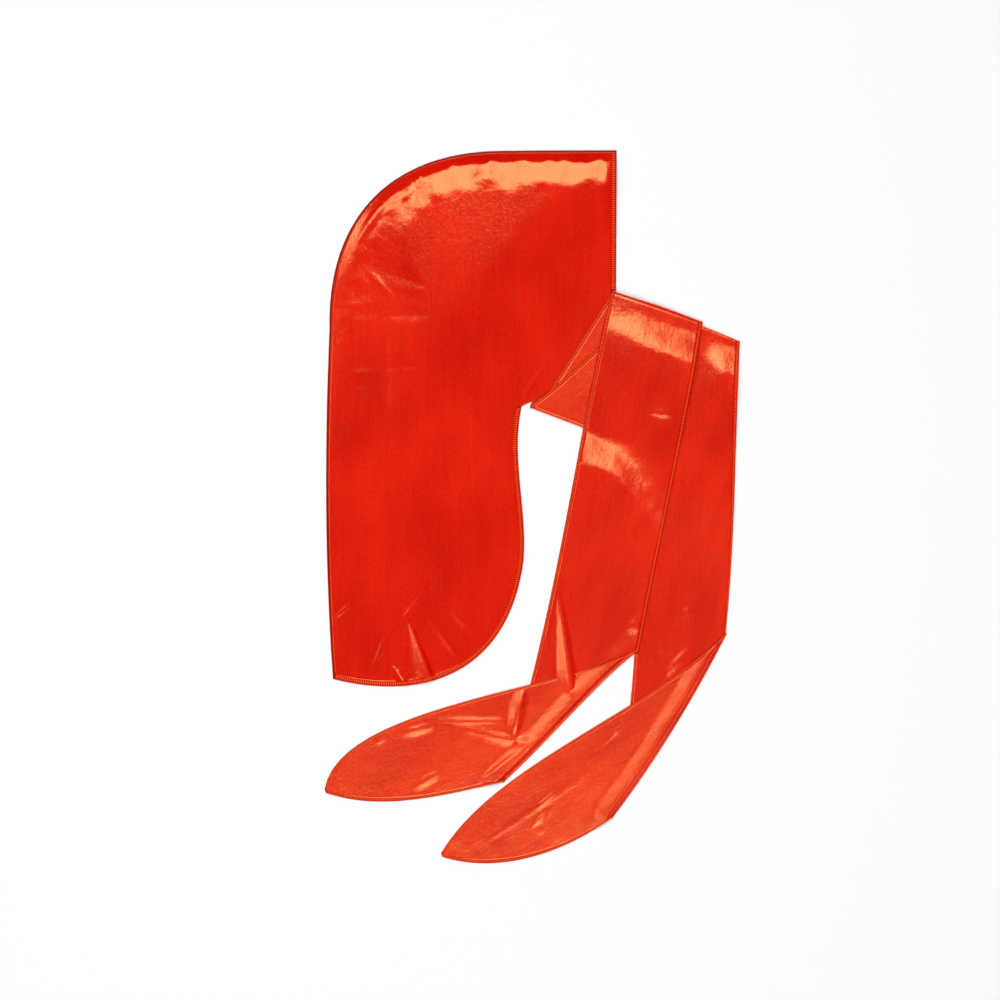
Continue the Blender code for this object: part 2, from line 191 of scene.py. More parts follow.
def satin_group():
    """Threads, slubs and streaks of a satin weave: a colour, a roughness and a height."""
    group = bpy.data.node_groups.new("satin_weave", "ShaderNodeTree")
    for label, way, kind in (("Vector", "INPUT", "Vector"), ("Deep", "INPUT", "Color"),
                             ("Bright", "INPUT", "Color"), ("Rough", "INPUT", "Float"),
                             ("Color", "OUTPUT", "Color"), ("Roughness", "OUTPUT", "Float"),
                             ("Height", "OUTPUT", "Float")):
        group.interface.new_socket(label, in_out=way, socket_type="NodeSocket" + kind)
    nodes, links = group.nodes, group.links
    source = nodes.new("NodeGroupInput")
    result = nodes.new("NodeGroupOutput")

    def stretched(scale, detail, size):
        """Noise whose grain is longer along the warp."""
        mapping = nodes.new("ShaderNodeMapping")
        mapping.inputs["Scale"].default_value = scale
        links.new(source.outputs["Vector"], mapping.inputs["Vector"])
        texture = nodes.new("ShaderNodeTexNoise")
        texture.inputs["Scale"].default_value = size
        texture.inputs["Detail"].default_value = detail
        links.new(mapping.outputs["Vector"], texture.inputs["Vector"])
        return texture.outputs["Fac"]

    def ranged(value, old, new):
        """Bring a value from an old range into a new one."""
        node = nodes.new("ShaderNodeMapRange")
        node.inputs["From Min"].default_value, node.inputs["From Max"].default_value = old
        node.inputs["To Min"].default_value, node.inputs["To Max"].default_value = new
        links.new(value, node.inputs["Value"])
        return node.outputs["Result"]

    def combined(first, second):
        """Add two values."""
        node = nodes.new("ShaderNodeMath")
        node.operation = "ADD"
        links.new(first, node.inputs[0])
        links.new(second, node.inputs[1])
        return node.outputs["Value"]

    grain = stretched(scale=(1.0, 0.7, 1.0), detail=3.0, size=430.0)
    thread = stretched(scale=(1.0, 0.5, 1.0), detail=1.0, size=900.0)
    ripple = stretched(scale=(1.0, 0.5, 1.0), detail=1.0, size=170.0)
    streak = stretched(scale=(1.0, 0.05, 1.0), detail=2.0, size=300.0)
    cloud = stretched(scale=(1.0, 0.6, 1.0), detail=2.0, size=15.0)
    tone = combined(ranged(grain, (0.35, 0.65), (0.0, 0.34)), ranged(streak, (0.3, 0.7), (0.0, 0.20)))
    tone = combined(tone, ranged(cloud, (0.35, 0.65), (0.0, 0.46)))
    mix = nodes.new("ShaderNodeMix")
    mix.data_type = "RGBA"
    links.new(tone, mix.inputs["Factor"])
    links.new(source.outputs["Deep"], mix.inputs[COLOR_A])
    links.new(source.outputs["Bright"], mix.inputs[COLOR_B])
    links.new(mix.outputs[COLOR_MIXED], result.inputs["Color"])
    spread = combined(source.outputs["Rough"], ranged(grain, (0.3, 0.7), (-0.02, 0.02)))
    links.new(spread, result.inputs["Roughness"])
    relief = combined(ranged(grain, (0.0, 1.0), (0.0, 0.12)), ranged(ripple, (0.0, 1.0), (0.0, 0.11)))
    relief = combined(relief, ranged(thread, (0.0, 1.0), (0.0, 0.07)))
    links.new(relief, result.inputs["Height"])
    return group


SATIN_WEAVE = satin_group()
GLOW = (1.0, 0.50, 0.19, 1.0)              # colour of the shine


def satin(name, deep, bright, rough, relief=1.0, level=1.0):
    """A satin finish: a red body with an orange shine, wider across the warp than along it."""
    made = bpy.data.materials.new(name)
    made.use_nodes = True
    nodes, links = made.node_tree.nodes, made.node_tree.links
    shader = nodes["Principled BSDF"]
    shader.inputs["IOR"].default_value = 1.7
    shader.inputs["Specular IOR Level"].default_value = level
    shader.inputs["Specular Tint"].default_value = GLOW
    shader.inputs["Anisotropic"].default_value = 0.5
    across = nodes.new("ShaderNodeTangent")
    across.direction_type = "UV_MAP"
    across.uv_map = "warp"
    links.new(across.outputs["Tangent"], shader.inputs["Tangent"])
    lay = nodes.new("ShaderNodeUVMap")
    lay.uv_map = "warp"
    weave = nodes.new("ShaderNodeGroup")
    weave.node_tree = SATIN_WEAVE
    weave.inputs["Deep"].default_value = (*deep, 1.0)
    weave.inputs["Bright"].default_value = (*bright, 1.0)
    weave.inputs["Rough"].default_value = rough
    links.new(lay.outputs["UV"], weave.inputs["Vector"])
    links.new(weave.outputs["Color"], shader.inputs["Base Color"])
    links.new(weave.outputs["Roughness"], shader.inputs["Roughness"])
    bump = nodes.new("ShaderNodeBump")
    bump.inputs["Strength"].default_value = 1.0
    bump.inputs["Distance"].default_value = relief * MM
    links.new(weave.outputs["Height"], bump.inputs["Height"])
    links.new(bump.outputs["Normal"], shader.inputs["Normal"])
    return made


def grid_place(vertex, columns, rows):
    """Column and row of a vertex in a new grid, counted from its top left corner."""
    return round((vertex.co.x + 1.0) / 2.0 * columns), round((1.0 - vertex.co.y) / 2.0 * rows)


def finished(name, shape, finishes, smooth=True):
    """Make a modelled shape an object at the origin, with its finishes."""
    mesh = bpy.data.meshes.new(name)
    shape.to_mesh(mesh)
    shape.free()
    if smooth:
        mesh.shade_smooth()
    for finish in finishes:
        mesh.materials.append(finish)
    piece = bpy.data.objects.new(name, mesh)
    bpy.context.scene.collection.objects.link(piece)
    return piece


def cloth_sheet(name, net, warp, finishes):
    """A sheet of cloth through a net of points at the middle of its wall, with a face and a back."""
    rows, columns = net.shape[:2]
    shape = bmesh.new()
    bmesh.ops.create_grid(shape, x_segments=columns - 1, y_segments=rows - 1, size=1.0)
    lay = shape.loops.layers.uv.new("warp")
    for vertex in shape.verts:
        column, row = grid_place(vertex, columns - 1, rows - 1)
        vertex.co = net[row, column] * MM
        for loop in vertex.link_loops:
            loop[lay].uv = warp[row, column] * MM
    piece = finished(name, shape, finishes)
    wall = piece.modifiers.new("wall", "SOLIDIFY")
    wall.thickness = SATIN_WALL * MM
    wall.offset = 0.0
    wall.use_even_offset = False
    wall.material_offset = len(finishes) - 1
    return piece


PANEL_FACE = satin("panel_satin_face", (0.60, 0.0010, 0.0005), (0.92, 0.012, 0.002), 0.145)
PANEL_BACK = satin("panel_satin_back", (0.64, 0.004, 0.002), (0.90, 0.030, 0.007), 0.20)

lower_plan = panel_net(LOWER_CELL)
lower_height = np.full(lower_plan.shape[:2], CAD_WALL / 2.0)
lower_panel = cloth_sheet("lower_panel_satin", np.dstack([lower_plan, lower_height]), lower_plan,
                          (PANEL_BACK, PANEL_FACE))
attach(lower_panel, "root")
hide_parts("lower_panel")

# Upper side panel
# The near half, the same satin. It stands hollow over the lower one, round along the crown
# and the back, with gathers at the crown seam and packing creases across it.

UPPER_CELL = 2.2 * FINE
EDGE_RISE = 3.2            # how far it rises steeply, beside the seam along the crown
EDGE_END = 9.0             # where that steep part starts to level off, between two gathers
EDGE_FADE = 8.0            # and the width over which it does
BAND_RISE = 3.9            # how far it rises in the even band beside it, which catches the light
BAND_END = 25.0
BAND_FADE = 14.0
BACK_BAND = 90.0           # width of the gentle rise along the back, to the same height
BAND_SWING = 4.0           # how far the band's end swings in and out
SWING_SIZE = 24.0          # length of such a swing
GATHERS = (18.0, 52.0, 68.0, 94.0, 125.0, 166.0, 204.0)    # places along the seam, from the front
GATHER_PULL = 4.0          # how much sooner the steep part ends at a gather
GATHER_WIDTH = 9.0
BAND_DIP = 0.24            # how far the band sags in its middle, more in some places than in others
DIP_PLACE = 19.0
DIP_WIDTH = 8.0
DIP_SIZE = 17.0            # length over which that changes
BACK_RISE = 0.2            # share of the steep part that is left along the back
BACK_FROM = 190.0          # where along the seam it changes
BACK_TO = 380.0
FRONT_DIP = 0.3            # share of the height that is lost at the front band
FRONT_FALL = 12.0          # and over which width
EAR_FALL = 112.0           # width over which it comes down to the ear and the tie's root
EAR_FLAT = 8.0             # width beside them that stays down
TAIL_END = -175.0          # where along Y it lies flat at the tail
TAIL_FALL = 330.0          # and the length over which it comes down to there
ROUNDING = 0.2             # share of such a slope that is rounded at each end
SWELL_SIZE = 70.0          # size of the slow rise and fall of loose cloth
SWELL = 0.32               # and its height
RIPPLE_SIZE = 15.0         # size of the small ripples in the light-catching band
RIPPLE = 0.40
RIPPLE_END = 32.0          # how far from the seam they start to die out
RIPPLE_FADE = 14.0
EDGE_HOLD = 22.0           # width beside the panel's edges where swell and ripples die out

# Where the panel's swells and ripples are read in the noise
SWING_SPOT = (0.0, 5.3)
DIP_SPOT = (4.1, 2.6)
SWELL_LAYER = 3.7
RIPPLE_LAYER = 8.1

# A crease runs from start to end. Left and right are the widths of its two slopes, sharp
# goes from a round ridge (0) to a knife edge (1), and opens makes it grow from its start.
Crease = namedtuple("Crease", "x0 y0 x1 y1 left right height sharp opens")
TAPER = 0.8                # how a crease thins out towards its ends
NARROW = 0.35              # share of its width that is left there
OPEN_FROM = 0.05           # share of its width at the start of one that opens
OPEN_ROUND = 4.0           # length over which that start is rounded
CROWN_CREASES = (
    Crease(14.0, 350.0, 12.0, 318.0, 5.0, 6.0, 0.15, 0.2, 0),
    Crease(-10.0, 350.0, -13.0, 318.0, 6.0, 6.0, 0.15, 0.2, 0),
    Crease(-42.0, 348.0, -48.0, 318.0, 6.0, 6.0, 0.15, 0.2, 0),
    Crease(-117.0, 336.0, -118.0, 298.0, 4.0, 4.0, -0.5, 0.5, 0),
    Crease(-112.0, 322.0, -150.0, 290.0, 6.0, 6.0, 0.4, 0.3, 0),
    Crease(-150.0, 303.0, -176.0, 262.0, 6.0, 6.0, 0.5, 0.3, 0),
)
PANEL_CREASES = (
    Crease(-164.0, 236.0, -138.0, 205.0, 3.0, 2.6, 0.62, 0.6, 0),
    Crease(-141.0, 212.0, -136.0, 20.0, 14.0, 8.0, 0.50, 0.0, 0),
    Crease(4.0, 224.0, -19.0, 208.0, 2.6, 2.4, 0.50, 0.7, 0),
    Crease(-20.0, 207.0, 18.0, 206.5, 2.4, 2.0, 0.34, 0.7, 0),
    Crease(-49.0, 192.0, -36.0, 146.0, 5.1, 3.4, 0.26, 0.3, 0),
    Crease(-72.0, 178.0, -57.0, 144.0, 5.1, 3.4, 0.26, 0.3, 0),
    Crease(14.0, 145.0, -9.0, 108.0, 2.5, 2.2, 0.31, 0.6, 0),
    Crease(-58.0, 262.0, -59.0, -60.0, 12.0, 8.0, 0.35, 0.0, 0),
    Crease(-12.0, 180.0, -13.0, -64.0, 6.0, 6.0, -0.35, 0.1, 0),
    Crease(-186.0, 13.5, -142.0, 12.0, 2.0, 2.0, 0.19, 0.6, 0),
    Crease(-132.0, 14.0, -154.0, -24.0, 2.5, 2.2, 0.45, 0.5, 0),
    Crease(-192.0, 13.0, -167.0, -34.0, 2.2, 2.5, 0.24, 0.5, 0),
    Crease(-178.0, -94.0, -203.0, -116.0, 2.5, 2.2, 0.60, 0.6, 0),
    Crease(-82.0, -46.0, -106.0, -92.0, 2.9, 2.9, 0.75, 0.5, 0),
    Crease(-110.0, -69.0, -118.0, -97.0, 2.2, 2.2, 0.65, 0.5, 0),
    Crease(-117.0, -88.0, -133.0, -114.0, 2.4, 2.4, 0.80, 0.6, 0),
    Crease(-127.0, -104.0, -100.5, -172.0, 3.0, 20.0, 3.20, 0.8, 1),
    Crease(-127.0, -104.0, -100.5, -172.0, 1.5, 3.0, 0.80, 0.5, 0),
    Crease(-114.0, -95.0, -72.0, -155.0, 4.6, 4.2, 0.95, 0.6, 0),
    Crease(-147.0, -150.0, -124.0, -180.0, 3.0, 9.0, 2.60, 0.9, 1),
    Crease(-141.0, -119.0, -161.0, -165.0, 4.2, 4.2, 0.75, 0.4, 0),
    Crease(-86.0, -99.0, -60.0, -126.0, 3.8, 3.4, 0.65, 0.4, 0),
)
PACKING_CREASES = (
    Crease(-208.0, 135.5, -146.0, 133.5, 2.4, 2.4, 0.16, 0.7, 0),
    Crease(-166.0, 133.3, -86.0, 137.0, 2.4, 2.4, 0.16, 0.7, 0),
    Crease(-108.0, 135.8, -44.0, 141.2, 2.4, 2.4, 0.16, 0.7, 0),
    Crease(-68.0, 139.5, 36.0, 143.8, 2.4, 2.4, 0.16, 0.7, 0),
    Crease(-200.0, 202.0, -160.0, 201.0, 2.4, 2.4, 0.12, 0.7, 0),
)


def creased(points, creases):
    """Height that a set of creases adds at each point."""
    height = np.zeros(len(points))
    for crease in creases:
        start = np.array([crease.x0, crease.y0])
        line = np.array([crease.x1, crease.y1]) - start
        length = np.linalg.norm(line)
        line /= length
        run = (points - start) @ line
        side = (points - start) @ np.array([-line[1], line[0]])
        width = np.where(side > 0.0, crease.left, crease.right)
        if crease.opens:
            share = np.clip(run / length, OPEN_FROM, 1.0)
            ends = share * ease(run / OPEN_ROUND + 0.5)
            width = width * share
        else:
            share = np.clip(run / length, 0.0, 1.0)
            ends = np.sin(np.pi * share) ** TAPER
            width = width * (NARROW + (1.0 - NARROW) * ends)
        off = np.clip(1.0 - np.abs(side) / width, 0.0, 1.0)
        height += crease.height * ends * (crease.sharp * off + (1.0 - crease.sharp) * ease(off))
    return height


def swell(points, size, layer):
    """Slow rise and fall of loose cloth, from about -1 to 1."""
    return np.array([noise.noise(Vector((x / size, y / size, layer))) for x, y in points])


def wander(length, size, spot):
    """Slow change along a line, from about -1 to 1."""
    return 2.0 * np.array([noise.noise(Vector((at / size, *spot))) for at in length])


def levelling(distance, end, fade):
    """An even climb from 0 to 1 that levels off over a width after its end."""
    share = np.clip((distance - end) / fade, 0.0, 1.0)
    climb = np.minimum(distance, end) + fade * (share - share**3 + share**4 / 2.0)
    return climb / (end + fade / 2.0)


def even(share):
    """Step from 0 to 1 at an even slope, with rounded ends."""
    share = np.clip(share, 0.0, 1.0)
    low = np.minimum(share, ROUNDING)
    high = np.clip(share - 1.0 + ROUNDING, 0.0, None)
    middle = np.clip(share - ROUNDING, 0.0, 1.0 - 2.0 * ROUNDING)
    return (low**2 / (2.0 * ROUNDING) + middle + high - high**2 / (2.0 * ROUNDING)) / (1.0 - ROUNDING)


def panel_lift(points):
    """How far the upper panel stands up over the hollow."""
    _, distance, _, length = nearest(points, SEAM_PATH)
    edge = np.full(len(points), EDGE_END)
    for gather in GATHERS:
        edge -= GATHER_PULL * ease(1.0 - np.abs(length - gather) / GATHER_WIDTH)
    swing = BAND_SWING * wander(length, SWING_SIZE, SWING_SPOT)
    back = ease((length - BACK_FROM) / (BACK_TO - BACK_FROM))
    steep = EDGE_RISE * (1.0 - (1.0 - BACK_RISE) * back)
    band = BAND_END + (BACK_BAND - BAND_END) * back + swing
    lift = steep * levelling(distance, edge, EDGE_FADE)
    lift += (EDGE_RISE + BAND_RISE - steep) * levelling(distance, band, BAND_FADE)
    dip = BAND_DIP * (1.0 + wander(length, DIP_SIZE, DIP_SPOT)) * (1.0 - back)
    lift -= dip * ease(1.0 - np.abs(distance - DIP_PLACE) / DIP_WIDTH)
    lift *= 1.0 - FRONT_DIP * (1.0 - ease(distance_to(points, FRONT_PATH) / FRONT_FALL))
    open_edge = np.vstack([TAIL_PATH, [ROOT_FRONT]])
    lift *= even((distance_to(points, open_edge) - EAR_FLAT) / EAR_FALL)
    lift *= even((points[:, 1] - TAIL_END) / TAIL_FALL)
    return lift


def upper_middle(points):
    """Height of the middle of the upper panel's cloth."""
    free = ease(distance_to(points, PANEL_OUTLINE) / EDGE_HOLD)
    ripples = ease(1.0 - (distance_to(points, SEAM_PATH) - RIPPLE_END) / RIPPLE_FADE)
    loose = SWELL * swell(points, SWELL_SIZE, SWELL_LAYER)
    loose += RIPPLE * swell(points, RIPPLE_SIZE, RIPPLE_LAYER) * ripples
    loose *= free
    folds = creased(points, PANEL_CREASES) + creased(points, CROWN_CREASES)
    folds += creased(points, PACKING_CREASES)
    return LAYER + CAD_WALL / 2.0 + panel_lift(points) + loose + folds


upper_plan = panel_net(UPPER_CELL)
upper_height = upper_middle(upper_plan.reshape(-1, 2)).reshape(upper_plan.shape[:2])
upper_panel = cloth_sheet("upper_panel_satin", np.dstack([upper_plan, upper_height]), upper_plan,
                          (PANEL_FACE, PANEL_BACK))
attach(upper_panel, "root")
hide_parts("upper_panel")

# Centre seam
# The panels are sewn edge to edge along the crown and back, and the seam is rolled to a
# cord-like ridge. Its satin is painted darker and duller than the panels: painted shade
# for the dark line along the outer edge.

SEAM_WIDTH = 2.6
SEAM_HEIGHT = 2.6
SEAM_STEP = 3.0 * FINE
ROUND_SIDES = 12
SQUARENESS = 0.62          # 1 is an ellipse, less is a flatter strip with round edges


def frame_lines(inner, outer):
    """Middle, half width and upward direction of a strip between two lines."""
    middle = (inner + outer) / 2.0
    half = (outer - inner) / 2.0
    run = np.gradient(middle, axis=0)
    up = np.cross(half, run)
    up /= np.linalg.norm(up, axis=1)[:, None]
    return middle, half, up


def rolled_strip(name, inner, outer, height, finish, squareness=SQUARENESS):
    """A closed strip with round edges, between two lines of points."""
    middle, half, up = frame_lines(inner, outer)
    rows = len(middle)
    shape = bmesh.new()
    bmesh.ops.create_grid(shape, x_segments=ROUND_SIDES, y_segments=rows - 1, size=1.0)
    lay = shape.loops.layers.uv.new("warp")
    lengths = measured(middle)
    for vertex in shape.verts:
        side, row = grid_place(vertex, ROUND_SIDES, rows - 1)
        angle = 2.0 * np.pi * (side % ROUND_SIDES) / ROUND_SIDES
        wide = np.sign(np.cos(angle)) * abs(np.cos(angle))**squareness
        tall = np.sign(np.sin(angle)) * abs(np.sin(angle))**squareness
        vertex.co = (middle[row] + half[row] * wide + up[row] * tall * height / 2.0) * MM
        across = np.linalg.norm(half[row]) * 2.0 * side / ROUND_SIDES
        for loop in vertex.link_loops:
            loop[lay].uv = (across * MM, lengths[row] * MM)
    bmesh.ops.remove_doubles(shape, verts=shape.verts[:], dist=1e-6)
    rims = [edge for edge in shape.edges if edge.is_boundary]
    bmesh.ops.holes_fill(shape, edges=rims, sides=0)
    bmesh.ops.recalc_face_normals(shape, faces=shape.faces[:])
    return finished(name, shape, (finish,))


def inset(path, depth, side, rows):
    """A line that runs inside an edge, at a given distance from it."""
    spine = along(path, np.linspace(0.0, 1.0, rows + 1))
    run = np.gradient(spine, axis=0)
    run /= np.linalg.norm(run, axis=1)[:, None]
    return spine + np.c_[-run[:, 1], run[:, 0]] * side * depth


# Painted shade: the seam's satin is dark and dull to stand for the shaded outer edge.
SEAM_SHADE_SATIN = satin("seam_satin", (0.22, 0.001, 0.001), (0.42, 0.004, 0.001), 0.34, level=0.12)

seam_rows = round(measured(SEAM_PATH)[-1] / SEAM_STEP)
seam_level = np.full(seam_rows + 1, (CAD_WALL + LAYER) / 2.0)
seam_outer = np.c_[inset(SEAM_PATH, 0.0, 1, seam_rows), seam_level]
seam_inner = np.c_[inset(SEAM_PATH, SEAM_WIDTH, 1, seam_rows), seam_level]
centre_seam = rolled_strip("centre_seam_roll", seam_inner, seam_outer, SEAM_HEIGHT, SEAM_SHADE_SATIN,
                           squareness=1.0)
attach(centre_seam, "root")
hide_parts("centre_seam")

# Front bands and tail hems
# The free edges of each panel are turned under twice and stitched down: across the
# forehead, and round the tail up to the notch behind the ear. The hem satin is painted
# darker and duller than the panels: painted shade in the gaps between stitches and along the outer edge.

HEM_HEIGHT = 1.0
HEM_STEP = 3.0 * FINE
# Painted shade: hem satin is dark and dull for the shaded gaps between stitches and the outer edge.
HEM_SHADE_SATIN = satin("hem_satin", (0.46, 0.002, 0.001), (0.68, 0.008, 0.001), 0.32, relief=0.6, level=0.15)
HEM_POINTS = 120           # points on the edge that a hem follows
SEAM_CLEAR = 1.6           # how far from the outer edge a hem starts, under the rolled seam
ROOT_CLEAR = 0.3           # how far from the tie's root the front band ends


def panel_hem(name, node, path, side, upper, first, last):
    """A turned hem along one edge of a panel, with the line that its stitches follow."""
    total = measured(path)[-1]
    path = at_lengths(path, np.linspace(first, total - last, HEM_POINTS))
    rows = round(measured(path)[-1] / HEM_STEP)
    lines = []
    for depth in (HEM, 0.0):
        plan = inset(path, depth, side, rows)
        level = upper_middle(plan) if upper else np.full(len(plan), CAD_WALL / 2.0)
        lines.append(np.c_[plan, level])
    piece = rolled_strip(name, lines[0], lines[1], HEM_HEIGHT, HEM_SHADE_SATIN)
    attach(piece, "root")
    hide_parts(node)
    return piece, lines


panel_hems = {}
for level, upper in (("lower", False), ("upper", True)):
    panel_hems[level + "_front"] = panel_hem(level + "_front_band_hem", level + "_front_band",
                                             FRONT_PATH, -1, upper, SEAM_CLEAR, ROOT_CLEAR)
    panel_hems[level + "_tail"] = panel_hem(level + "_tail_hem_roll", level + "_tail_hem",
                                            TAIL_PATH, 1, upper, SEAM_CLEAR, HEM / 2.0)

# Ties
# Each panel carries one long tapered tie, sewn along the slanted root. It is folded down,
# up, down again and back on itself at its end. Its edges are rolled hems round the satin.

TIE_CELL = 2.4 * FINE
TIE_WIDTH = 107.0
TURN_ROWS = 8              # mesh rows round a fold
DRAPE = 50.0               # width over which a layer comes down beside the one under it
EDGE_ROOM = 2.5            # how far past an edge the layer above stays at full height
FOLD_GRIP = 4.0            # width beside a fold where no shoulder stands up from it
LOOSE_GRIP = 16.0          # and where no crease or swell does
TOP_FOLD = 1               # the one fold that turns towards the crown
LONG_RUN = 2               # the first run that lies over the folded ones
ROOT_SHIFT = 0.2           # how far the tie's root lies outside the panel's edge
TIE_HEM = 3.4
TIE_HEM_MOST = 0.46        # share of the tie's width that a hem takes at the narrow tip
TIE_HEM_HEIGHT = 0.9
STACK = 4                  # layers under the long run that lies on the folded ones
STACK_START = -1.0         # how far past the folded edge that run starts to come down
STACK_FALL = 43.0          # and over which width, at its rear half
STACK_SLIDE = 130.0        # and at its front half
SLIDE_FROM = 80.0          # where along X it changes from one to the other
SLIDE_TO = 155.0
STACK_DROP = 4.2           # how much lower the stack is at its front corner
DROP_FROM = 70.0
DROP_TO = 210.0
TOP_DRAPE = 100.0          # width over which the top layers come down beside each other
TIE_SWELL_SIZE = 55.0      # size and height of the slow rise and fall of the lying ties
TIE_SWELL = 0.35
TIE_SWELL_MIDDLE = 0.55    # keeps it above the table
TIE_SWELL_LAYER = 11.3     # where it is read in the noise, one further for each run
TIE_RIPPLE_SIZE = 13.0     # the same for their small ripples
TIE_RIPPLE = 0.17
TIE_RIPPLE_LAYER = 21.9

# A fold is its outer line, from the rear edge to the front edge of the tie.
Fold = namedtuple("Fold", "rear rear_handle front_handle front")
# A run lies between two folds: two handles for its rear edge, two for its front edge.
Run = namedtuple("Run", "rear_in rear_out front_in front_out level")
# A shoulder stands up beside a fold, on one run: it rises over a width and settles again.
# Its height is given at the tie's rear edge and at its front edge.
Shoulder = namedtuple("Shoulder", "run fold begin width rear front settle gone")
Tie = namedtuple("Tie", "root_end folds runs tip_rear tip_front shoulders creases")

UPPER_TIE = Tie(
    root_end=0.93,
    folds=(
        Fold((5.0, 99.3), (35.0, 88.0), (65.0, 76.7), (95.0, 65.3)),
        Fold((79.5, 216.2), (110.0, 206.0), (140.5, 195.5), (170.5, 184.5)),
        Fold((-29.5, -276.5), (14.0, -238.0), (73.0, -166.0), (107.5, -143.5)),
    ),
    runs=(
        Run((0.0, 103.0), (3.0, 101.0), (88.0, 164.0), (92.0, 113.0), 1),
        Run((24.0, 126.0), (52.0, 172.0), (121.0, 100.0), (146.0, 142.0), 2),
        Run((43.0, 62.0), (23.0, -112.0), (153.0, 76.0), (127.0, -32.0), 5),
        Run((-87.0, -288.0), (-150.0, -306.0), (33.0, -184.0), (-193.0, -198.0), 6),
    ),
    tip_rear=(-206.5, -286.5),
    tip_front=(-208.0, -282.5),
    shoulders=(
        Shoulder(2, 1, 9.0, 32.0, 1.6, 4.6, 46.0, 150.0),
        Shoulder(2, 2, 4.0, 20.0, 0.8, 0.8, 30.0, 80.0),
        Shoulder(3, 2, 0.0, 5.0, 3.2, 2.6, 5.0, 22.0),
        Shoulder(1, 0, 1.0, 8.0, 1.2, 1.2, 10.0, 40.0),
    ),
    creases={
        2: (
            Crease(24.0, -66.0, 38.0, -161.0, 4.0, 15.0, 4.5, 0.8, 1),
            Crease(8.0, -154.0, 13.0, -171.0, 5.0, 5.0, 0.9, 0.5, 0),
            Crease(106.0, 26.0, 104.0, -90.0, 10.0, 14.0, -0.5, 0.0, 0),
            Crease(115.0, 95.0, 142.0, 91.0, 6.0, 6.0, 0.56, 0.0, 0),
            Crease(96.0, -114.0, 106.0, -126.0, 7.0, 7.0, 0.8, 0.2, 0),
        ),
        3: (
            Crease(-97.0, -213.5, -14.0, -214.0, 3.0, 5.0, -0.9, 0.6, 0),
            Crease(-95.0, -216.0, -20.0, -233.0, 5.0, 8.0, 1.3, 0.5, 1),
            Crease(-8.0, -180.0, -17.0, -232.0, 4.0, 15.0, 3.2, 0.6, 0),
            Crease(10.0, -231.0, -60.0, -279.0, 6.0, 5.0, 0.8, 0.5, 0),
            Crease(30.0, -174.0, 46.0, -190.0, 8.0, 6.0, 1.1, 0.5, 0),
            Crease(-130.0, -227.0, -98.0, -219.0, 7.0, 7.0, 0.8, 0.2, 0),
            Crease(-156.0, -238.0, -148.0, -230.0, 5.0, 5.0, 0.5, 0.2, 0),
            Crease(-118.0, -282.0, -92.0, -264.0, 8.0, 8.0, 0.9, 0.2, 0),
        ),
    },
)
LOWER_TIE = Tie(
    root_end=0.93,
    folds=(
        Fold((-3.0, 98.7), (32.0, 85.4), (69.0, 71.4), (105.5, 57.5)),
        Fold((119.5, 197.8), (149.0, 188.0), (178.0, 178.6), (207.5, 164.5)),
        Fold((79.5, -312.5), (124.0, -254.0), (161.0, -193.0), (194.5, -127.5)),
    ),
    runs=(
        Run((-1.5, 103.5), (-1.5, 102.5), (91.0, 162.0), (99.0, 110.0), 0),
        Run((40.0, 130.0), (75.0, 176.0), (139.0, 90.0), (176.0, 122.0), 3),
        Run((95.0, 60.0), (121.0, -143.0), (202.0, 67.0), (203.0, -32.0), 4),
        Run((30.0, -347.0), (-33.0, -368.0), (114.0, -207.0), (-37.0, -256.0), 5),
    ),
    tip_rear=(-90.0, -350.5),
    tip_front=(-91.5, -346.5),
    shoulders=(
        Shoulder(2, 1, 6.0, 28.0, 3.4, 3.4, 40.0, 120.0),
        Shoulder(3, 2, 0.0, 5.0, 3.1, 3.4, 5.0, 22.0),
    ),
    creases={
        2: (
            Crease(111.0, -117.0, 123.0, -133.0, 4.0, 4.0, 1.2, 0.5, 0),
            Crease(151.0, -102.0, 157.0, -110.0, 8.0, 8.0, 0.8, 0.2, 0),
            Crease(124.0, -118.0, 132.0, -150.0, 6.0, 5.0, 1.0, 0.4, 0),
            Crease(158.0, -140.0, 131.0, -171.0, 6.0, 6.0, 0.9, 0.4, 0),
            Crease(108.0, -134.0, 127.0, -165.0, 6.0, 6.0, 0.9, 0.4, 0),
        ),
        3: (
            Crease(69.0, -238.0, 97.0, -213.0, 3.0, 3.0, 0.6, 0.6, 0),
            Crease(2.0, -304.0, 27.0, -281.0, 3.5, 3.0, 0.7, 0.6, 0),
            Crease(-1.0, -320.0, 19.0, -303.0, 4.0, 3.0, 1.1, 0.7, 0),
            Crease(2.0, -325.0, 12.0, -325.0, 3.0, 3.0, 0.6, 0.5, 0),
            Crease(-55.0, -341.0, 62.0, -263.0, 5.0, 5.0, 0.35, 0.1, 0),
        ),
    },
)


def inside(points, outline):
    """Which points lie inside a closed outline."""
    following = np.roll(outline, -1, axis=0)
    x, y = points[:, 0, None], points[:, 1, None]
    crosses = (outline[:, 1] > y) != (following[:, 1] > y)
    rise = np.where(following[:, 1] == outline[:, 1], 1.0, following[:, 1] - outline[:, 1])
    at = outline[:, 0] + (y - outline[:, 1]) / rise * (following[:, 0] - outline[:, 0])
    return (crosses & (x < at)).sum(1) % 2 == 1


def outside_by(points, outline):
    """How far each point lies outside a closed outline, and 0 inside it."""
    closed = np.vstack([outline, outline[:1]])
    return np.where(inside(points, outline), 0.0, distance_to(points, closed))


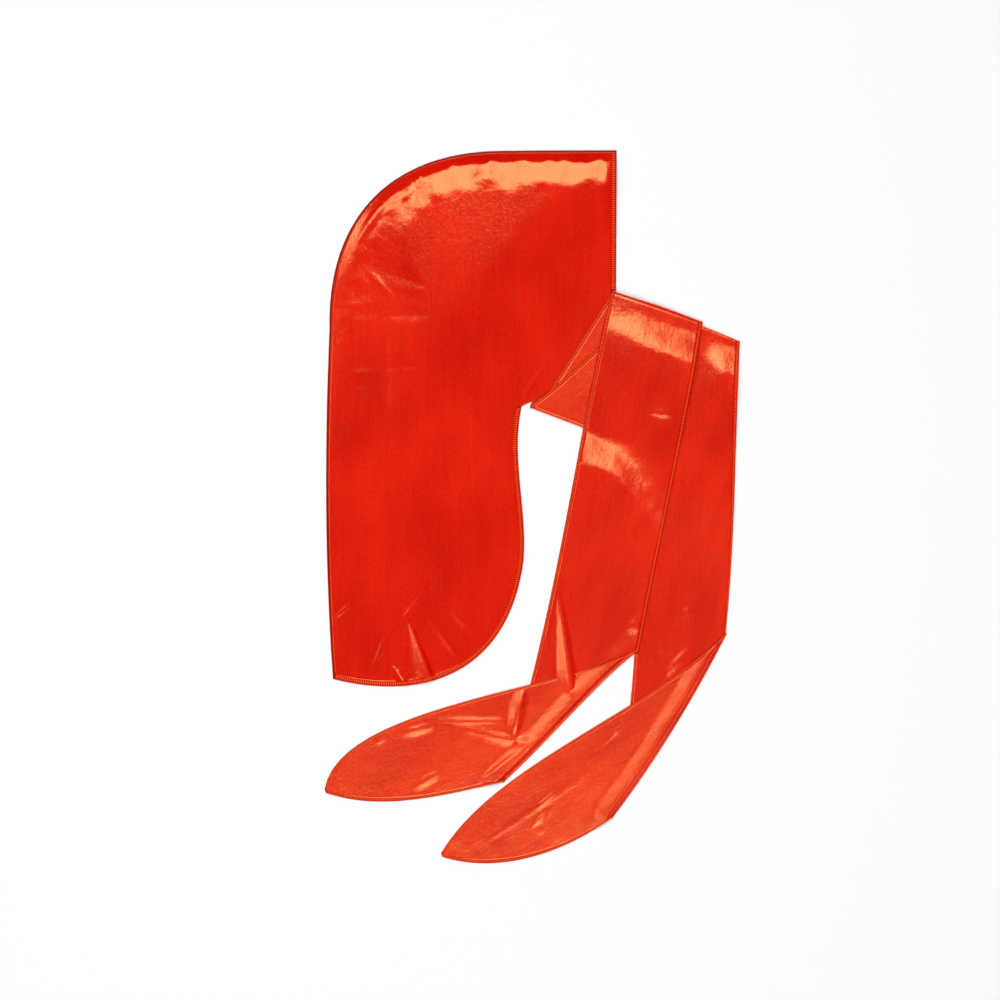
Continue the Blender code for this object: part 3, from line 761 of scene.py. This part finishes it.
def tie_plan(tie):
    """Plan of a tie's runs, and the axis and outward direction of each of its folds."""
    root = cubic(ROOT, np.linspace(tie.root_end, 0.0, CURVE_STEPS + 1))
    direction = np.gradient(root, axis=0)
    direction /= np.linalg.norm(direction, axis=1)[:, None]
    root = root + np.c_[direction[:, 1], -direction[:, 0]] * ROOT_SHIFT
    tip = np.array([tie.tip_rear, tie.tip_front], float)
    turns = []
    for number, fold in enumerate(tie.folds):
        outer = path_of((fold.rear, fold.rear_handle, fold.front_handle, fold.front))
        radius = LAYER * (tie.runs[number + 1].level - tie.runs[number].level) / 2.0
        chord = outer[-1] - outer[0]
        chord /= np.linalg.norm(chord)
        outward = np.array([-chord[1], chord[0]]) * (1.0 if number == TOP_FOLD else -1.0)
        turns.append((outer - outward * (radius + CAD_WALL / 2.0), outward))
    runs = []
    for number, run in enumerate(tie.runs):
        top = root if number == 0 else turns[number - 1][0]
        bottom = tip if number == len(turns) else turns[number][0]
        rear = path_of((top[0], run.rear_in, run.rear_out, bottom[0]))
        front = path_of((top[-1], run.front_in, run.front_out, bottom[-1]))
        runs.append((top, front, bottom, rear))
    return runs, turns


def run_outline(run):
    """Closed outline of one run."""
    top, front, bottom, rear = run
    return np.vstack([top, front[1:], bottom[::-1][1:], rear[::-1][1:-1]])


UPPER_RUNS, UPPER_TURNS = tie_plan(UPPER_TIE)
LOWER_RUNS, LOWER_TURNS = tie_plan(LOWER_TIE)

# What lies on each level, from the table up
LEVELS = (
    (PANEL_OUTLINE, run_outline(LOWER_RUNS[0])),
    (PANEL_OUTLINE, run_outline(UPPER_RUNS[0])),
    (run_outline(UPPER_RUNS[1]),),
    (run_outline(LOWER_RUNS[1]),),
    (run_outline(LOWER_RUNS[LONG_RUN]),),
    (run_outline(UPPER_RUNS[LONG_RUN]),),
)
COVER = run_outline(UPPER_RUNS[LONG_RUN])  # what lies over the lower tie and holds it down
COVER_ROOM = 30.0                          # width beside it over which that tie comes free


def layers_under(points, first, last, drape):
    """How high the layers from one level to another lift what is draped over them."""
    height = np.zeros(len(points))
    for outlines in LEVELS[first:last]:
        rise = np.zeros(len(points))
        for outline in outlines:
            away = outside_by(points, outline)
            rise = np.maximum(rise, ease(1.0 - (away - EDGE_ROOM) / drape))
        height += LAYER * rise
    return height


def stack_height(points):
    """The folded stack as the long runs feel it: full height, then one fall past its edge."""
    start = np.array(UPPER_TIE.folds[0].rear)
    line = np.array(UPPER_TIE.folds[0].front) - start
    line /= np.linalg.norm(line)
    past = (points - start) @ np.array([line[1], -line[0]]) - STACK_START
    slide = ease((points[:, 0] - SLIDE_FROM) / (SLIDE_TO - SLIDE_FROM))
    full = STACK * LAYER - STACK_DROP * ease((points[:, 0] - DROP_FROM) / (DROP_TO - DROP_FROM))
    return full * (1.0 - ease(past / (STACK_FALL + (STACK_SLIDE - STACK_FALL) * slide)))


def lying_height(points, level):
    """Height of the underside of a layer, draped over every layer below it."""
    if level < STACK:
        return layers_under(points, 0, level, DRAPE)
    return stack_height(points) + layers_under(points, STACK, level, TOP_DRAPE)


def standing(points, tie, turns, number, covered):
    """What stands up from a run: its shoulders and creases, held down at folds and under the other tie."""
    folds = [turns[fold][0] for fold in (number - 1, number) if 0 <= fold < len(turns)]
    height = creased(points, tie.creases.get(number, ()))
    if number >= LONG_RUN:
        slow = swell(points, TIE_SWELL_SIZE, TIE_SWELL_LAYER + number)
        height += TIE_SWELL * (TIE_SWELL_MIDDLE + slow)
        height += TIE_RIPPLE * swell(points, TIE_RIPPLE_SIZE, TIE_RIPPLE_LAYER + number)
    for line in folds:
        height *= ease(distance_to(points, line) / LOOSE_GRIP)
    for shoulder in tie.shoulders:
        if shoulder.run == number:
            line = turns[shoulder.fold][0]
            _, away, _, length = nearest(points, line)
            rise = ease((away - shoulder.begin) / shoulder.width)
            fall = ease((away - shoulder.settle) / (shoulder.gone - shoulder.settle))
            tall = shoulder.rear + (shoulder.front - shoulder.rear) * ease(length / measured(line)[-1])
            height += tall * rise * (1.0 - fall)
    for line in folds:
        height *= ease(distance_to(points, line) / FOLD_GRIP)
    if covered:
        height *= ease(outside_by(points, COVER) / COVER_ROOM)
    return height


def tie_surface(tie, runs, turns, covered):
    """Rows of points across a whole tie, from its root to its tip."""
    columns = np.linspace(0.0, 1.0, round(TIE_WIDTH / TIE_CELL) + 1)
    rows = []
    for number, (run, edges) in enumerate(zip(tie.runs, runs)):
        top, front, bottom, rear = edges
        steps = round((measured(front)[-1] + measured(rear)[-1]) / 2.0 / TIE_CELL)
        shares = np.linspace(0.0, 1.0, steps + 1)
        net = fill_net(along(top, columns), along(front, shares), along(bottom, columns),
                       along(rear, shares), columns, shares)
        flat = net.reshape(-1, 2)
        held = covered and number == LONG_RUN
        height = lying_height(flat, run.level) + standing(flat, tie, turns, number, held)
        rows.extend(np.dstack([net, height.reshape(net.shape[:2]) + CAD_WALL / 2.0]))
        if number == len(turns):
            break
        axis, outward = turns[number]
        line = along(axis, columns)
        low = lying_height(line, run.level) + CAD_WALL / 2.0
        high = lying_height(line, tie.runs[number + 1].level) + CAD_WALL / 2.0
        radius = (high - low) / 2.0
        for angle in np.linspace(0.0, np.pi, TURN_ROWS + 1)[1:-1]:
            bulge = (radius * np.sin(angle))[:, None] * outward
            rows.append(np.c_[line + bulge, low + radius * (1.0 - np.cos(angle))])
    return rows


TIE_FACE = satin("tie_satin_face", (0.62, 0.0015, 0.001), (0.92, 0.020, 0.005), 0.16)
TIE_BACK = satin("tie_satin_back", (0.66, 0.005, 0.002), (0.96, 0.040, 0.009), 0.175)


def satin_tie(name, node, tie, runs, turns, covered):
    """A tie and its two rolled hems, with the lines that the hems follow."""
    surface = tie_surface(tie, runs, turns, covered)
    body, rear_lines, front_lines = [], [], []
    inner = np.linspace(0.0, 1.0, round((TIE_WIDTH - 2.0 * TIE_HEM) / TIE_CELL) + 1)
    for row in surface:
        width = measured(row)[-1]
        hem = min(TIE_HEM, TIE_HEM_MOST * width)
        tuck = hem * (1.0 - HEM_TUCK / TIE_HEM)
        body.append(at_lengths(row, tuck + (width - 2.0 * tuck) * inner))
        edges = at_lengths(row, (0.0, hem, width - hem, width))
        rear_lines.append(edges[:2])
        front_lines.append(edges[2:])
    body = np.array(body)
    middle = body[:, len(inner) // 2]
    across = np.linalg.norm(body - middle[:, None], axis=2) * np.where(inner < 0.5, -1.0, 1.0)
    length = np.broadcast_to(measured(middle)[:, None], across.shape)
    sheet = cloth_sheet(name + "_satin", body, np.dstack([across, -length]), (TIE_FACE, TIE_BACK))
    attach(sheet, "root")
    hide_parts(node)
    rear_lines, front_lines = np.array(rear_lines), np.array(front_lines)
    hems = []
    for edge, outer, inside_line in (("rear", rear_lines[:, 0], rear_lines[:, 1]),
                                     ("front", front_lines[:, 1], front_lines[:, 0])):
        hem = rolled_strip(f"{name}_{edge}_hem", inside_line, outer, TIE_HEM_HEIGHT, HEM_SHADE_SATIN)
        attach(hem, "root")
        hems.append((hem, (inside_line, outer)))
    return sheet, hems


lower_tie, lower_tie_hems = satin_tie("lower_tie", "lower_tie", LOWER_TIE, LOWER_RUNS, LOWER_TURNS, True)
upper_tie, upper_tie_hems = satin_tie("upper_tie", "upper_tie", UPPER_TIE, UPPER_RUNS, UPPER_TURNS, False)

# Stitches
# Every hem is overlocked: close stitches in orange thread lie across it and hold its rolled
# edge, and the hem's darker satin, which is painted shade, shows between them and along the outer edge.

STITCH_SHARE = 0.80        # share of a hem's width that a stitch covers
STITCH_WIDTH = 1.25        # along the hem
STITCH_PROUD = 0.36        # how far it stands up from the hem
PITCH = 2.3
THREAD_LINE = 0.16         # where the row's middle lies, from the hem's middle to its inner edge


def thread_finish(name, deep, bright):
    """Spun thread, with a slight change of tone from stitch to stitch."""
    made = bpy.data.materials.new(name)
    made.use_nodes = True
    nodes, links = made.node_tree.nodes, made.node_tree.links
    shader = nodes["Principled BSDF"]
    shader.inputs["Roughness"].default_value = 0.5
    shader.inputs["Specular IOR Level"].default_value = 0.3
    where = nodes.new("ShaderNodeTexCoord")
    texture = nodes.new("ShaderNodeTexNoise")
    texture.inputs["Scale"].default_value = 500.0
    links.new(where.outputs["Object"], texture.inputs["Vector"])
    mix = nodes.new("ShaderNodeMix")
    mix.data_type = "RGBA"
    mix.inputs[COLOR_A].default_value = (*deep, 1.0)
    mix.inputs[COLOR_B].default_value = (*bright, 1.0)
    links.new(texture.outputs["Fac"], mix.inputs["Factor"])
    links.new(mix.outputs[COLOR_MIXED], shader.inputs["Base Color"])
    return made


def stitches(name, hems, height, finish):
    """Stitches across hems, each hem given by its inner and outer lines."""
    shape = bmesh.new()
    for lines in hems:
        middle, half, up = frame_lines(*lines)
        line = middle - half * THREAD_LINE
        spots = (np.arange(int(measured(line)[-1] / PITCH)) + 0.5) * PITCH
        places = at_lengths(line, spots)
        halves = at_lengths(line, spots, half)
        ups = at_lengths(line, spots, up)
        for place, reach, rise in zip(places, halves, ups):
            width = np.linalg.norm(reach) * STITCH_SHARE
            across = Vector(reach).normalized()
            rise = Vector(rise).normalized()
            place = Vector(place) + (rise if rise.z > 0.0 else -rise) * STITCH_PROUD / 2.0
            ahead = rise.cross(across).normalized()
            radii = (width, STITCH_WIDTH / 2.0, (height + STITCH_PROUD) / 2.0)
            size = Matrix.Diagonal((*[radius * MM for radius in radii], 1.0))
            turn = Matrix((across, ahead, across.cross(ahead))).transposed().to_4x4()
            lie = Matrix.Translation(place * MM) @ turn @ size
            bmesh.ops.create_icosphere(shape, subdivisions=1, radius=1.0, matrix=lie)
    bmesh.ops.recalc_face_normals(shape, faces=shape.faces[:])
    piece = finished(name, shape, (finish,))
    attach(piece, "root")
    return piece


HEM_THREAD = thread_finish("hem_thread", (1.0, 0.070, 0.007), (1.0, 0.20, 0.030))

panel_lines = [lines for _, lines in panel_hems.values()]
panel_stitches = stitches("panel_hem_stitches", panel_lines, HEM_HEIGHT, HEM_THREAD)
for name, hems in (("lower_tie", lower_tie_hems), ("upper_tie", upper_tie_hems)):
    tie_lines = [lines for _, lines in hems]
    stitches(name + "_stitches", tie_lines, TIE_HEM_HEIGHT, HEM_THREAD)

# Table, lights and camera
# A white table, soft boxes above it on the crown side, the tail side, the back's side and
# the corner between crown and back, an even fill from above, and a camera straight above.

TABLE_SIDE = 7.0
VIEW_CENTRE = (-0.0325, 0.0065)
VIEW_HEIGHT = 5.0
LENS = 180.0
BOX_SIZE = (1.7, 1.8)
CROWN_PLACE = (0.0, 1.72, 4.0)
TAIL_PLACE = (0.0, -2.03, 3.85)
BOX_POWER = 58.0
FILL_SIZE = (3.0, 3.0)
FILL_PLACE = (0.0, 0.0, 6.0)
FILL_POWER = 142.0
SIDE_SIZE = (1.2, 0.9)
SIDE_PLACE = (-2.37, 0.0, 3.65)
SIDE_POWER = 18.0
CORNER_SIZE = (0.9, 1.0)
CORNER_PLACE = (-1.56, 1.31, 3.84)
CORNER_POWER = 16.0
ROOM_GREY = 0.01
TABLE_WHITE = 0.95

white = bpy.data.materials.new("table_white")
white.use_nodes = True
paint = white.node_tree.nodes["Principled BSDF"]
paint.inputs["Base Color"].default_value = (TABLE_WHITE, TABLE_WHITE, TABLE_WHITE, 1.0)
paint.inputs["Roughness"].default_value = 0.9
paint.inputs["Specular IOR Level"].default_value = 0.0
table_top = bmesh.new()
bmesh.ops.create_grid(table_top, x_segments=8, y_segments=8, size=TABLE_SIDE / 2.0)
table = finished("table", table_top, (white,), smooth=False)


def soft_box(name, place, size, power):
    """A rectangular soft light that faces the middle of the table."""
    light = bpy.data.lights.new(name, "AREA")
    light.shape = "RECTANGLE"
    light.size, light.size_y = size
    light.energy = power
    lamp = bpy.data.objects.new(name, light)
    lamp.location = place
    lamp.rotation_euler = (-Vector(place)).to_track_quat("-Z", "Y").to_euler()
    bpy.context.scene.collection.objects.link(lamp)
    return lamp


soft_box("crown_soft_box", CROWN_PLACE, BOX_SIZE, BOX_POWER)
soft_box("tail_soft_box", TAIL_PLACE, BOX_SIZE, BOX_POWER)
soft_box("side_soft_box", SIDE_PLACE, SIDE_SIZE, SIDE_POWER)
soft_box("corner_soft_box", CORNER_PLACE, CORNER_SIZE, CORNER_POWER)
fill = soft_box("overhead_fill", FILL_PLACE, FILL_SIZE, FILL_POWER)
fill.visible_glossy = False

room = bpy.data.worlds.new("room")
room.use_nodes = True
room.node_tree.nodes["Background"].inputs["Color"].default_value = (ROOM_GREY, ROOM_GREY, ROOM_GREY, 1.0)
bpy.context.scene.world = room
bpy.context.scene.view_settings.view_transform = "Standard"

camera_data = bpy.data.cameras.new("camera")
camera_data.lens = LENS
camera = bpy.data.objects.new("camera", camera_data)
camera.location = (*VIEW_CENTRE, VIEW_HEIGHT)
bpy.context.scene.collection.objects.link(camera)
bpy.context.scene.camera = camera
